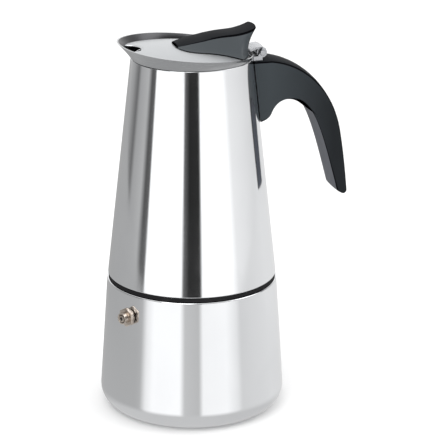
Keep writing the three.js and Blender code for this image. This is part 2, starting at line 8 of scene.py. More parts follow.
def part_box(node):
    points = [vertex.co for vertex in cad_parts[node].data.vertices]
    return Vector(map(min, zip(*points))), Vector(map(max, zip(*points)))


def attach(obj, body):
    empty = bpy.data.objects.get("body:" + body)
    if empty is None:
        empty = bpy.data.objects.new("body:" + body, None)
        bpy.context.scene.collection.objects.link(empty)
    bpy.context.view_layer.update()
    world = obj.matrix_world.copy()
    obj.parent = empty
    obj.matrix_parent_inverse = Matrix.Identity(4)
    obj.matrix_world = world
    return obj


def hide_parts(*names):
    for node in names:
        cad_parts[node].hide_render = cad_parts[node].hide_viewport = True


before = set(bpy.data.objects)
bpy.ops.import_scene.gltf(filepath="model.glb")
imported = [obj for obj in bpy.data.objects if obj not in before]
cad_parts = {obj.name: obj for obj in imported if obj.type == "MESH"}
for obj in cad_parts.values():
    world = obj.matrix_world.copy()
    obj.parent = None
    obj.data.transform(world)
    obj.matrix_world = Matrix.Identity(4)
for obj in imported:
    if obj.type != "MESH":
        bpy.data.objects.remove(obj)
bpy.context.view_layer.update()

mm = 0.001  # shapes are drawn in millimetres and scaled once, when a piece is finished


def boxOf(node):
    low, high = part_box(node)
    return Vector(low) / mm, Vector(high) / mm


def lerp(a, b, share):
    return a + (b - a) * share


boilerHigh = boxOf("boiler_shell")[1]
shellLow, shellHigh = boxOf("collector_shell")
ringLow, ringHigh = boxOf("seam_ring")
leverHigh = boxOf("thumb_lever")[1]
handleLow, handleHigh = boxOf("handle")
pinLow, pinHigh = boxOf("hinge_pin")
skirtLow, skirtHigh = boxOf("threaded_skirt")
floorLow, floorHigh = boxOf("collector_floor")
cupLow, cupHigh = boxOf("funnel_cup")
stemLow, stemHigh = boxOf("funnel_stem")
gasketLow, gasketHigh = boxOf("gasket")
columnLow, columnHigh = boxOf("column")

# sizes that the whole pot shares, in millimetres
gap = 0.3
mouthRadius = 32.3
cornerZ = 10.8  # where the boiler's straight wall starts
threadPitch = 3
baseRadius = boilerHigh.y
seatZ = shellLow.z
mouthZ = shellHigh.z
seatRadius = shellHigh.y
shoulderZ = ringLow.z - gap
shoulderRadius = seatRadius + 0.4
pinX = (pinLow.x + pinHigh.x) / 2
pinZ = (pinLow.z + pinHigh.z) / 2


def coneRadius(z):
    return lerp(seatRadius, mouthRadius, (z - seatZ) / (mouthZ - seatZ))


def boilerRadius(z):
    return lerp(baseRadius, shoulderRadius, (z - cornerZ) / (shoulderZ - cornerZ))


class Wire:
    def __init__(self, finish, socket):
        self.finish = finish
        self.socket = socket

    def maths(self, operation, *values):
        inputs = {place: value for place, value in enumerate(values)}
        return self.finish.add("Math", {"operation": operation}, inputs)

    def __add__(self, other):
        return self.maths("ADD", self, other)

    def __radd__(self, other):
        return self.maths("ADD", other, self)

    def __sub__(self, other):
        return self.maths("SUBTRACT", self, other)

    def __rsub__(self, other):
        return self.maths("SUBTRACT", other, self)

    def __mul__(self, other):
        return self.maths("MULTIPLY", self, other)

    def __rmul__(self, other):
        return self.maths("MULTIPLY", other, self)

    def __truediv__(self, other):
        return self.maths("DIVIDE", self, other)

    def __pow__(self, other):
        return self.maths("POWER", self, other)


class Finish:
    def __init__(self, name):
        self.material = bpy.data.materials.new(name)
        self.material.use_nodes = True
        self.tree = self.material.node_tree
        self.tree.nodes.clear()

    def add(self, kind, settings=None, inputs=None, output=0):
        node = self.tree.nodes.new("ShaderNode" + kind)
        for name, value in (settings or {}).items():
            if name == "stops":
                self.setStops(node.color_ramp, value)
            else:
                setattr(node, name, value)
        for name, value in (inputs or {}).items():
            if isinstance(value, Wire):
                self.tree.links.new(value.socket, node.inputs[name])
            else:
                node.inputs[name].default_value = value
        return Wire(self, node.outputs[output])

    def setStops(self, ramp, stops):
        while len(ramp.elements) > len(stops):
            ramp.elements.remove(ramp.elements[-1])
        while len(ramp.elements) < len(stops):
            ramp.elements.new(1)
        for element, (place, shade) in zip(ramp.elements, stops):
            element.position = place
            element.color = (shade, shade, shade, 1) if isinstance(shade, (int, float)) else (*shade, 1)

    def place(self, scale=(1, 1, 1), turn=(0, 0, 0)):
        coords = self.add("TexCoord", output="Object")
        return self.add("Mapping", None, {"Vector": coords, "Scale": scale, "Rotation": turn})

    def noise(self, vector, scale=1, detail=4, rough=0.55, distortion=0):
        return self.add("TexNoise", None, {"Vector": vector, "Scale": scale, "Detail": detail,
                                           "Roughness": rough, "Distortion": distortion})

    def ramp(self, factor, stops):
        return self.add("ValToRGB", {"stops": stops}, {"Fac": factor})

    def mixColor(self, factor, a, b):
        mix = self.tree.nodes.new("ShaderNodeMix")
        mix.data_type = "RGBA"
        for name, value in ((0, factor), (6, a), (7, b)):
            if isinstance(value, Wire):
                self.tree.links.new(value.socket, mix.inputs[name])
            else:
                mix.inputs[name].default_value = value if name == 0 else (*value, 1)
        return Wire(self, mix.outputs[2])

    def bump(self, height, strength, distance):
        return self.add("Bump", None, {"Height": height, "Strength": strength, "Distance": distance})

    def close(self, **sockets):
        named = {name.replace("_", " "): value for name, value in sockets.items()}
        shader = self.add("BsdfPrincipled", None, named)
        output = self.tree.nodes.new("ShaderNodeOutputMaterial")
        self.tree.links.new(shader.socket, output.inputs["Surface"])
        return self.material


# polished sheet: a mirror with faint lathe lines round it and the haze that hands leave
def polishedSteel():
    look = {"tone": (0.86, 0.87, 0.885), "haze": (0.79, 0.80, 0.82), "gloss": 0.055, "lineRise": 0.03}
    finish = Finish("polishedSteel")
    lines = finish.noise(finish.place((26, 26, 2600)), detail=3)
    cloud = finish.noise(finish.place((26, 26, 18)), detail=3, distortion=0.4)
    haze = finish.ramp(cloud, [(0.45, 0), (0.8, 1)])
    specks = finish.ramp(finish.noise(finish.place((900, 900, 900)), detail=1), [(0.66, 0), (0.74, 1)])
    tone = finish.mixColor(haze * 0.6, look["tone"], look["haze"])
    gloss = look["gloss"] + lines * look["lineRise"] + haze * 0.05 + specks * 0.04
    normal = finish.bump(lines, 0.035, 0.00003)
    return finish.close(Base_Color=tone, Metallic=1, Roughness=gloss, Normal=normal)


# satin sheet, brushed round the pot's axis
def brushedSteel(name, tone, gloss, depth):
    finish = Finish(name)
    coords = finish.add("TexCoord", output="Object")
    x = finish.add("SeparateXYZ", None, {"Vector": coords}, "X")
    y = finish.add("SeparateXYZ", None, {"Vector": coords}, "Y")
    z = finish.add("SeparateXYZ", None, {"Vector": coords}, "Z")
    radius = (x * x + y * y) ** 0.5
    turn = x.maths("ARCTAN2", y, x)
    rings = finish.add("CombineXYZ", None, {"X": radius * 3200, "Y": turn * 5, "Z": z * 3200})
    lines = finish.noise(rings, detail=4, rough=0.65)
    cloud = finish.noise(finish.place((45, 45, 45)), detail=3)
    darker = tuple(channel * 0.82 for channel in tone)
    color = finish.mixColor(lines * 0.7 + cloud * 0.3, darker, tone)
    normal = finish.bump(lines, depth, 0.00006)
    return finish.close(Base_Color=color, Metallic=1, Roughness=gloss + lines * 0.16 + cloud * 0.06,
                        Normal=normal)


# black moulded plastic: fine spark grain, slightly polished where fingers rub, and, when a lit tone is given,
# made lighter towards the pot as painted light
def blackPlastic(name, tone, worn, gloss, shine, paintedLitTone=None):
    look = {"tone": tone, "worn": worn, "gloss": gloss, "paintedLightFrom": 0.040, "paintedLightTo": 0.076}
    finish = Finish(name)
    grain = finish.noise(finish.place((1, 1, 1)), scale=2600, detail=3, rough=0.6)
    pits = finish.add("TexVoronoi", None, {"Vector": finish.place((1, 1, 1)), "Scale": 1900}, "Distance")
    rub = finish.ramp(finish.noise(finish.place((30, 30, 30)), detail=2), [(0.35, 0), (0.75, 1)])
    tone = finish.mixColor(rub * 0.5 + grain * 0.2, look["tone"], look["worn"])
    # painted light: the tone turns lighter towards the pot, between the two x distances
    if paintedLitTone:
        outward = finish.add("SeparateXYZ", None, {"Vector": finish.add("TexCoord", output="Object")}, "X")
        blend = 1 - (outward - look["paintedLightFrom"]) / (look["paintedLightTo"] - look["paintedLightFrom"])
        tone = finish.mixColor(finish.ramp(blend, [(0, 0), (1, 1)]), tone, paintedLitTone)
    normal = finish.bump(grain * 0.6 + pits * 0.4, 0.16, 0.00008)
    gloss = look["gloss"] + grain * 0.12 - rub * 0.05
    return finish.close(Base_Color=tone, Roughness=gloss, Normal=normal, Specular_IOR_Level=shine)


def softRubber(name, tone, gloss):
    finish = Finish(name)
    grain = finish.noise(finish.place((1, 1, 1)), scale=1500, detail=3)
    dust = finish.ramp(finish.noise(finish.place((60, 60, 60)), detail=3), [(0.5, 0), (0.85, 1)])
    dusty = tuple(min(1, channel * 1.2 + 0.02) for channel in tone)
    normal = finish.bump(grain, 0.2, 0.0001)
    return finish.close(Base_Color=finish.mixColor(dust * 0.6, tone, dusty), Roughness=gloss + grain * 0.1,
                        Normal=normal, Specular_IOR_Level=0.08)


# turned brass that has gone a little brown
def agedBrass():
    look = {"tone": (0.76, 0.68, 0.60), "brown": (0.26, 0.20, 0.16), "gloss": 0.2}
    finish = Finish("agedBrass")
    lines = finish.noise(finish.place((700, 700, 700)), detail=2)
    stain = finish.ramp(finish.noise(finish.place((260, 260, 260)), detail=4), [(0.42, 0), (0.7, 1)])
    tone = finish.mixColor(stain * 0.7, look["tone"], look["brown"])
    normal = finish.bump(lines, 0.12, 0.00006)
    return finish.close(Base_Color=tone, Metallic=1, Roughness=look["gloss"] + stain * 0.2 + lines * 0.08,
                        Normal=normal)


mirror = polishedSteel()
collarSteel = brushedSteel("collarSteel", (0.50, 0.51, 0.52), 0.14, 0.08)
lidSteel = brushedSteel("lidSteel", (0.62, 0.635, 0.65), 0.30, 0.12)
# a near-black steel for the collar's inside faces: painted shade
collarInsidePaintedShade = brushedSteel("collarInsidePaintedShade", (0.10, 0.10, 0.105), 0.22, 0.08)
innerSteel = brushedSteel("innerSteel", (0.62, 0.62, 0.62), 0.26, 0.12)
hingeSteel = brushedSteel("hingeSteel", (0.50, 0.51, 0.53), 0.16, 0.05)
# dark steel for the valve pin and spring, which sit in the valve's recess: painted shade
paintedShadeSteel = brushedSteel("paintedShadeSteel", (0.12, 0.12, 0.12), 0.3, 0.05)
# near-black edges that reflect nothing: painted shade along the lever's and handle's edges
edgePaintedShade = blackPlastic("edgePaintedShade", (0.002, 0.002, 0.0025), (0.004, 0.004, 0.005), 0.4, 0.0)
topPlastic = blackPlastic("topPlastic", (0.006, 0.007, 0.009), (0.012, 0.013, 0.016), 0.5, 0.03)
leverPlastic = blackPlastic("leverPlastic", (0.038, 0.046, 0.052), (0.046, 0.054, 0.060), 0.36, 0.38)
# the handle's sides are black, with painted light that lightens them near the pot
handlePlastic = blackPlastic("handlePlastic", (0.006, 0.008, 0.010), (0.010, 0.013, 0.017), 0.36, 0.2,
                             (0.036, 0.044, 0.050))
# the grip face is painted lighter grey than the black plastic it is: painted light
gripPaintedLight = blackPlastic("gripPaintedLight", (0.085, 0.092, 0.112), (0.105, 0.112, 0.135), 0.42, 0.45)
# black for the seam band: painted shade of the gap between boiler and collector
seamPaintedShade = softRubber("seamPaintedShade", (0.012, 0.012, 0.013), 0.55)
gasketSilicone = softRubber("gasketSilicone", (0.72, 0.69, 0.62), 0.5)
brass = agedBrass()
print("stage: finishes made")


# a chain of corners in the XZ plane: (radius, height, rounding)
def drawProfile(bm, corners, closed=False):
    verts = [bm.verts.new((corner[0], 0, corner[1])) for corner in corners]
    ends = verts[1:] + verts[:1] if closed else verts[1:]
    for a, b in zip(verts, ends):
        bm.edges.new((a, b))
    for vert, corner in zip(verts, corners):
        if len(corner) > 2 and corner[2] > 0:
            bmesh.ops.bevel(bm, geom=[vert], offset=corner[2], offset_type="OFFSET", segments=7,
                            affect="VERTICES", profile=0.5, material=-1)


def spinRound(bm, steps=144):
    bmesh.ops.spin(bm, geom=bm.verts[:] + bm.edges[:], cent=(0, 0, 0), axis=(0, 0, 1),
                   angle=2 * math.pi, steps=steps, use_merge=True)
    bmesh.ops.remove_doubles(bm, verts=bm.verts[:], dist=0.002)


def finishPiece(bm, name, body, material, nodes, edge=0, thickness=0, sharp=35, edgeFinish=None,
                capFinish=None):
    bmesh.ops.scale(bm, vec=(mm, mm, mm), verts=bm.verts[:])
    bmesh.ops.recalc_face_normals(bm, faces=bm.faces[:])
    mesh = bpy.data.meshes.new(name)
    bm.to_mesh(mesh)
    bm.free()
    mesh.polygons.foreach_set("use_smooth", [True] * len(mesh.polygons))
    mesh.set_sharp_from_angle(angle=math.radians(sharp))
    mesh.materials.append(material)
    if edgeFinish:
        mesh.materials.append(edgeFinish)
    if capFinish:
        mesh.materials.append(capFinish)
    piece = bpy.data.objects.new(name, mesh)
    bpy.context.scene.collection.objects.link(piece)
    if thickness:
        wall = piece.modifiers.new("wall", "SOLIDIFY")
        wall.thickness = thickness * mm
        wall.offset = -1
        wall.use_even_offset = True
    if edge:
        softening = piece.modifiers.new("edges", "BEVEL")
        softening.width = edge * mm
        softening.segments = 3
        softening.limit_method = "ANGLE"
        softening.angle_limit = math.radians(sharp)
        softening.harden_normals = True
        softening.use_clamp_overlap = not edgeFinish
        softening.material = 1 if edgeFinish else -1
    weighted = piece.modifiers.new("normals", "WEIGHTED_NORMAL")
    weighted.keep_sharp = True
    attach(piece, body)
    if nodes:
        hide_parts(*nodes)
    return piece


def turnedPiece(name, corners, body, material, nodes, edge=0, steps=144, place=None, closed=True):
    bm = bmesh.new()
    drawProfile(bm, corners, closed)
    spinRound(bm, steps)
    if place:
        bmesh.ops.transform(bm, matrix=place, verts=bm.verts[:])
    return finishPiece(bm, name, body, material, nodes, edge)


# one rolled thread: a small ridge carried round and up by the pitch
def threadRidge(name, radius, height, startZ, turns, pitch, body, material):
    bm = bmesh.new()
    half = pitch * 0.34
    verts = [bm.verts.new(place) for place in (
        (radius, 0, startZ - half), (radius + height, 0, startZ), (radius, 0, startZ + half))]
    for a, b in zip(verts, verts[1:] + verts[:1]):
        bm.edges.new((a, b))
    steps = int(60 * turns)
    bmesh.ops.spin(bm, geom=bm.verts[:] + bm.edges[:], cent=(0, 0, 0), axis=(0, 0, 1),
                   dvec=(0, 0, pitch * turns / steps), angle=2 * math.pi * turns, steps=steps)
    bmesh.ops.holes_fill(bm, edges=[edge for edge in bm.edges if edge.is_boundary], sides=4)
    return finishPiece(bm, name, body, material, (), sharp=70)


boiler = {"corner": 15.5, "wall": 1.0, "neck": 36.8, "shoulderRoll": 0.6, "threadDepth": 0.7,
          "threadStart": 2.6, "threadTurns": 2.2}


def makeBoiler():
    neckTop = boilerHigh.z
    wall = boiler["wall"]
    foot = boiler["corner"]
    # the wall runs on to where it would meet the floor, and the corner is rounded from there
    footRadius = boilerRadius(0)
    corners = [
        (0, 0),
        (baseRadius - foot - 3, 0, 0.5),
        (footRadius, 0, cornerZ * 1.03),
        (shoulderRadius, shoulderZ, boiler["shoulderRoll"]),
        (boiler["neck"], shoulderZ, 0.5),
        (boiler["neck"], neckTop, 0.3),
        (boiler["neck"] - wall, neckTop, 0.3),
        (boiler["neck"] - wall, shoulderZ - wall, 0.4),
        (shoulderRadius - wall, shoulderZ - wall, 0.6),
        (footRadius - wall, wall, cornerZ * 0.95),
        (0, wall),
    ]
    turnedPiece("boiler", corners, "boiler", mirror, ["boiler_shell"], steps=192,
                closed=False)
    threadRidge("boiler_thread", boiler["neck"] - 0.05, boiler["threadDepth"],
                shoulderZ + boiler["threadStart"], boiler["threadTurns"], threadPitch, "boiler", mirror)


makeBoiler()

seam = {"swell": 0.22, "round": 0.4}

# the black band fills the gap almost to the steel, and its black is painted shade of the gap between boiler
# and collector
turnedPiece("seam_band", [
    (ringHigh.x, ringLow.z - seam["swell"], seam["round"]),
    (ringHigh.x, ringHigh.z + seam["swell"], seam["round"]),
    (skirtHigh.x + gap, ringHigh.z + seam["swell"], 0.2),
    (skirtHigh.x + gap, ringLow.z - seam["swell"], 0.2),
], "joint_ring", seamPaintedShade, ["seam_ring"], steps=160)
print("stage: boiler and seam")


collector = {"wall": 1.0, "sheet": 0.8, "hole": 9.3, "bend": 1.5, "threadDepth": 0.65, "threadStart": 2,
             "threadTurns": 2.2, "columnTop": 7, "columnFoot": 4}


def makeCollector():
    wall = collector["wall"]
    turnedPiece("collector_wall", [
        (seatRadius, seatZ, 0.5),
        (coneRadius(mouthZ), mouthZ, 0.2),
        (coneRadius(mouthZ) - wall, mouthZ, 0.2),
        (seatRadius - wall, seatZ, 0.3),
    ], "collector", mirror, ["collector_shell"], steps=192)
    sheet = collector["sheet"]
    hole = collector["hole"]
    bend = skirtHigh.x - wall
    edge = floorHigh.x
    turnedPiece("collector_base", [
        (hole, floorHigh.z - sheet, 0.2), (bend, floorLow.z, collector["bend"]),
        (edge, floorLow.z, 0.2), (edge, floorLow.z + sheet, 0.2),
        (bend, floorLow.z + sheet, collector["bend"]), (hole, floorHigh.z, 0.2),
    ], "collector", innerSteel, ["collector_floor"])
    turnedPiece("screw_skirt", [
        (skirtHigh.x, skirtLow.z, 0.3), (skirtHigh.x, skirtHigh.z, 0.3),
        (skirtHigh.x - wall, skirtHigh.z, 0.2), (skirtHigh.x - wall, skirtLow.z, 0.3),
    ], "collector", innerSteel, ["threaded_skirt"])
    threadRidge("skirt_thread", skirtHigh.x - wall + 0.05, -collector["threadDepth"],
                skirtLow.z + collector["threadStart"], collector["threadTurns"], threadPitch, "collector",
                innerSteel)
    foot = columnLow.z + collector["columnFoot"]
    columnTop = collector["columnTop"]
    turnedPiece("column_tube", [
        (columnHigh.x, columnLow.z, 0.2), (columnHigh.x, foot, collector["bend"]),
        (columnTop, columnHigh.z, 0.2), (columnTop - sheet, columnHigh.z, 0.2),
        (columnHigh.x - sheet, foot, collector["bend"]), (columnHigh.x - sheet, columnLow.z, 0.2),
    ], "collector", innerSteel, ["column"], steps=72)


makeCollector()


funnel = {"sheet": 0.8, "ledge": 3, "depth": 22, "cone": 5, "pipeWall": 0.6, "sealWidth": 7, "sealRound": 0.5}


def makeFunnel():
    sheet = funnel["sheet"]
    ledge = funnel["ledge"]
    stem = stemHigh.x
    cupRadius = boiler["neck"] - boiler["wall"] - gap
    cupFloor = cupHigh.z - sheet - funnel["depth"]
    coneZ = cupFloor - funnel["cone"]
    turnedPiece("coffee_funnel", [
        (stem + gap, cupLow.z, 0.2), (stem + gap + sheet, cupLow.z, 0.2),
        (stem + gap + sheet, coneZ - sheet, 1.0), (cupRadius - ledge, cupFloor - sheet, 0.8),
        (cupRadius, cupFloor - sheet, 2.0), (cupRadius, cupHigh.z - sheet, 0.5),
        (cupHigh.x, cupHigh.z - sheet, 0.2), (cupHigh.x, cupHigh.z, 0.3),
        (cupRadius - sheet, cupHigh.z, 0.8), (cupRadius - sheet, cupFloor, 0.6),
        (cupRadius - ledge, cupFloor, 0.8), (stem + gap, coneZ, 1.0),
    ], "funnel", innerSteel, ["funnel_cup"])
    turnedPiece("funnel_pipe", [
        (stem, stemLow.z, 0.15), (stem, stemHigh.z, 0.15),
        (stem - funnel["pipeWall"], stemHigh.z, 0.15), (stem - funnel["pipeWall"], stemLow.z, 0.15),
    ], "funnel", innerSteel, ["funnel_stem"], steps=64)
    sealBore = gasketHigh.x - funnel["sealWidth"]
    rounding = funnel["sealRound"]
    turnedPiece("seal", [
        (gasketHigh.x, gasketLow.z, rounding), (gasketHigh.x, gasketHigh.z, rounding),
        (sealBore, gasketHigh.z, rounding), (sealBore, gasketLow.z, rounding),
    ], "filter", gasketSilicone, ["gasket"])


makeFunnel()
print("stage: collector and funnel")


collar = {"reach": 7.5, "spread": 1.14, "lean": 3.5, "height": 5.0, "peak": 0.8, "peakSpread": 0.5,
          "sheet": 0.9, "flare": 1.15, "roll": 0.7}


def fromLip(x, y):
    return math.atan2(y, -x)


def collarTop(angle):
    peak = collar["peak"] * math.exp(-((angle / collar["peakSpread"]) ** 2))
    return mouthZ + collar["height"] + collar["lean"] * math.cos(angle) + peak


def collarOuter(angle, share):
    reach = collar["reach"] * math.exp(-((angle / collar["spread"]) ** 2))
    return mouthRadius + reach * max(0, share) ** collar["flare"]


def makeCollar():
    bm = bmesh.new()
    sheet = collar["sheet"]
    # drawn as a ring one unit high, then carried out to the lip
    rows = 14
    outer = [bm.verts.new((2, 0, row / rows)) for row in range(rows + 1)]
    inner = [bm.verts.new((1, 0, row / rows)) for row in range(rows, -1, -1)]
    chain = outer + inner
    for a, b in zip(chain, chain[1:] + chain[:1]):
        bm.edges.new((a, b))
    bmesh.ops.spin(bm, geom=bm.verts[:] + bm.edges[:], cent=(0, 0, 0), axis=(0, 0, 1),
                   angle=2 * math.pi, steps=224, use_merge=True)
    foot = mouthZ + gap
    for face in bm.faces:
        # the inside faces take the second material, the painted shade
        face.material_index = 1 if max(math.hypot(vert.co.x, vert.co.y) for vert in face.verts) < 1.5 else 0
    for vert in bm.verts:
        angle = fromLip(vert.co.x, vert.co.y)
        inside = math.hypot(vert.co.x, vert.co.y) < 1.5
        share = vert.co.z
        roll = collar["roll"] * share ** 4 * (1 - math.exp(-angle ** 2))  # the rim opens all round
        radius = collarOuter(angle, share) + roll - (sheet if inside else 0)
        vert.co = (-radius * math.cos(angle), radius * math.sin(angle), lerp(foot, collarTop(angle), share))
    finishPiece(bm, "pouring_collar", "collector", collarSteel, ["spout_collar"], edge=0.3,
                capFinish=collarInsidePaintedShade)


makeCollar()


lid = {"seat": 2.0, "slope": 0.075, "lift": 2.0, "liftSpread": 0.7, "dome": 3.8, "gap": 0.6, "sheet": 0.8,
       "notch": 8, "notchDepth": 8, "hem": 0.5, "leafWidth": 12, "leafSheet": 1.1, "knuckle": 2.75}


def lipLift(angle):
    return lid["lift"] * math.exp(-((angle / lid["liftSpread"]) ** 2))


def lidEdgeZ(x):
    return mouthZ + lid["seat"] - lid["slope"] * x


def lidRadius(angle):
    height = lidEdgeZ(-mouthRadius * math.cos(angle)) + lipLift(angle) - mouthZ
    share = max(0, height / (collarTop(angle) - mouthZ))
    return collarOuter(angle, share) - 1.0 - lid["gap"]


def lidZ(x, y):
    angle = fromLip(x, y)
    share = math.hypot(x, y) / lidRadius(angle)
    return lidEdgeZ(x) + lipLift(angle) * share ** 4 + lid["dome"] * (1 - share ** 2)


# the lid's outline, which turns in round the pouring notch
def lidOutline(angle):
    centre = lidRadius(0) - lid["notchDepth"] + lid["notch"]
    offset = centre * math.sin(angle)
    if abs(angle) < 1 and abs(offset) < lid["notch"]:
        nearSide = centre * math.cos(angle) - math.sqrt(lid["notch"] ** 2 - offset ** 2)
        return min(lidRadius(angle), nearSide)
    return lidRadius(angle)


def makeLid():
    bm = bmesh.new()
    rings = 24
    chain = [bm.verts.new((ring / rings, 0, 0)) for ring in range(rings + 1)]
    for a, b in zip(chain, chain[1:]):
        bm.edges.new((a, b))
    spinRound(bm, 360)
    for vert in bm.verts:
        share = vert.co.xy.length
        angle = fromLip(vert.co.x, vert.co.y)
        radius = share * lidOutline(angle)
        x = -radius * math.cos(angle)
        y = radius * math.sin(angle)
        lip = lid["hem"] * max(0, (share - 0.93) / 0.07) ** 2  # the hem turns down slightly
        vert.co = (x, y, lidZ(x, y) + lid["sheet"] / 2 - lip)
    bmesh.ops.recalc_face_normals(bm, faces=bm.faces[:])
    if bm.faces[0].normal.z < 0:
        bmesh.ops.reverse_faces(bm, faces=bm.faces[:])
    return finishPiece(bm, "lid", "lid", lidSteel, ["lid_plate"], edge=0.2,
                       thickness=lid["sheet"])


# the tab that climbs from the lid and rolls round the pin
def makeHingeLeaf():
    bm = bmesh.new()
    foot = lidRadius(math.pi) - 0.9
    kneeZ = collarTop(math.pi) + 1.2
    top = pinZ + lid["knuckle"]
    half = lid["leafWidth"] / 2
    path = [(foot - 0.2, lidZ(foot, 0) - 0.2, 0), (foot - 0.2, kneeZ, 1.2),
            (pinX - lid["knuckle"], top, 1.2), (pinX, top, 0)]
    verts = [bm.verts.new((x, half, z)) for x, z, _ in path]
    for a, b in zip(verts, verts[1:]):
        bm.edges.new((a, b))
    for vert, (_, _, rounding) in zip(verts, path):
        if rounding:
            bmesh.ops.bevel(bm, geom=[vert], offset=rounding, offset_type="OFFSET", segments=6,
                            affect="VERTICES", profile=0.5, material=-1)
    last = max(bm.verts, key=lambda vert: vert.co.x)
    bmesh.ops.spin(bm, geom=[last], cent=(pinX, half, pinZ), axis=(0, 1, 0),
                   angle=math.radians(318), steps=36, use_merge=False)
    edges = bm.edges[:]
    drawn = bmesh.ops.extrude_edge_only(bm, edges=edges)
    moved = [item for item in drawn["geom"] if isinstance(item, bmesh.types.BMVert)]
    bmesh.ops.translate(bm, verts=moved, vec=(0, -2 * half, 0))
    bmesh.ops.remove_doubles(bm, verts=bm.verts[:], dist=0.002)
    bmesh.ops.recalc_face_normals(bm, faces=bm.faces[:])
    crest = max(bm.faces, key=lambda face: face.calc_center_median().z)
    if crest.normal.z < 0:
        bmesh.ops.reverse_faces(bm, faces=bm.faces[:])
    return finishPiece(bm, "hinge_leaf", "lid", hingeSteel, (), edge=0.25,
                       thickness=lid["leafSheet"], sharp=50)


makeLid()
makeHingeLeaf()

pin = {"half": pinHigh.y, "radius": 1, "headRadius": 1.5, "head": 0.5}
headStart = pin["half"] - pin["head"]
turnedPiece("lid_pin", [
    (0, -pin["half"]), (pin["headRadius"], -pin["half"], 0.25), (pin["headRadius"], -headStart, 0.1),
    (pin["radius"], -headStart, 0), (pin["radius"], headStart, 0), (pin["headRadius"], headStart, 0.1),
    (pin["headRadius"], pin["half"], 0.25), (0, pin["half"]),
], "collector", hingeSteel, ["hinge_pin"], steps=40, closed=False,
    place=Matrix.Translation((pinX, 0, pinZ)) @ Matrix.Rotation(math.pi / 2, 4, "X"))
print("stage: collar, lid and hinge")


# outlines are chains of bezier stretches: knot, two handles, knot and so on
def curveAlong(knots, steps=24):
    points = []
    for start in range(0, len(knots) - 3, 3):
        a, b, c, d = [Vector((x, 0, z)) for x, z in knots[start:start + 4]]
        points += interpolate_bezier(a, b, c, d, steps)[(1 if start else 0):]
    return points


def sampleAt(points, share):
    place = min(max(share, 0), 1) * (len(points) - 1)
    low = min(int(place), len(points) - 2)
    return points[low].lerp(points[low + 1], place - low)


# a block of small faces: x from -0.5 to 0.5, y the same, z from 0 to 1
def faceBlock(columns, rows, layers):
    bm = bmesh.new()
    bmesh.ops.create_grid(bm, x_segments=columns, y_segments=rows, size=0.5)
    shell = bmesh.ops.extrude_face_region(bm, geom=bm.faces[:])
    lifted = [item for item in shell["geom"] if isinstance(item, bmesh.types.BMVert)]
    bmesh.ops.translate(bm, verts=lifted, vec=(0, 0, 1))
    upright = [edge for edge in bm.edges if abs(edge.verts[0].co.z - edge.verts[1].co.z) > 0.5]
    bmesh.ops.subdivide_edges(bm, edges=upright, cuts=layers - 1, use_grid_fill=True)
    return bm


lever = {"front": 9.5, "back": 28, "tail": 34.2, "top": 16, "foot": 31, "flare": 6, "nose": 0.3,
         "edge": 0.7, "tailRound": 1.2, "crown": 0.5, "noseTop": 0.62, "noseFoot": 0.35,
         "sweep": 0.62, "seat": 0.25}


def makeLever():
    noseZ = lidZ(-lever["front"], 0) + 1.0
    tailZ = leverHigh.z + 0.3
    crest = curveAlong([
        (0, noseZ), (0.03, noseZ + 1.3), (0.08, tailZ - 5.9), (0.15, tailZ - 5.2),
        (0.28, tailZ - 4.0), (0.42, tailZ - 3.5), (0.57, tailZ - 3.3),
        (0.72, tailZ - 3.1), (0.84, tailZ - 2.0), (1.0, tailZ),
    ])
    bm = faceBlock(48, 18, 12)
    limit = lidRadius(math.pi) - lid["gap"]
    for face in bm.faces:
        lowest = min(vert.co.z for vert in face.verts)
        # the top keeps its own black; the row just under it takes the painted shade line between top and
        # sides
        face.material_index = 2 if lowest > 0.99 else 1 if lowest > 0.9 else 0
    for vert in bm.verts:
        along = vert.co.x + 0.5
        side = 2 * vert.co.y
        up = max(0, vert.co.z)
        nose = math.sqrt(max(0, 1 - (1 - min(1, max(0, along) / lever["nose"])) ** 2))
        topHalf = lever["top"] / 2 * lerp(lever["noseTop"], 1, nose)
        skirtHalf = lerp(lever["noseFoot"] * lever["top"], lever["foot"] / 2, nose)
        skirtHalf += lever["flare"] * along ** 3
        footX = lerp(-lever["front"], lever["back"], along)
        lidHalf = math.sqrt(limit ** 2 - footX ** 2)
        flare = up ** lever["sweep"]
        x = lerp(footX, lerp(-lever["front"], lever["tail"], along), up ** 2)
        y = side * lerp(min(skirtHalf, lidHalf), topHalf, flare)
        foot = lidZ(x, y) + lid["sheet"] / 2 + lever["seat"]
        ridge = sampleAt(crest, along).z + lever["crown"] * (1 - side ** 2) * up
        x -= lever["tailRound"] * side ** 2 * max(0, along) ** 8 * up
        vert.co = (x, y, lerp(foot, ridge, up))
    return finishPiece(bm, "lever", "lid", leverPlastic, ["thumb_lever"],
                       edge=lever["edge"], sharp=38, edgeFinish=edgePaintedShade, capFinish=topPlastic)


makeLever()


handle = {"half": 10, "crown": 1.0, "edge": 0.6, "hug": 0.4, "drop": 3, "tipLift": 1.5, "archReach": 20.8,
          "archDrop": 20.5, "chamfer": 0.4, "edgeRow": 0.8}


# moves the last row of a -1 to 1 grid, which starts at "row", out to a narrow edge
def rowPlace(share, row, width):
    size = abs(share)
    width = min(width, 1 - row)
    moved = size * (1 - width) / row if size <= row else lerp(1 - width, 1, (size - row) / (1 - row))
    return math.copysign(moved, share)


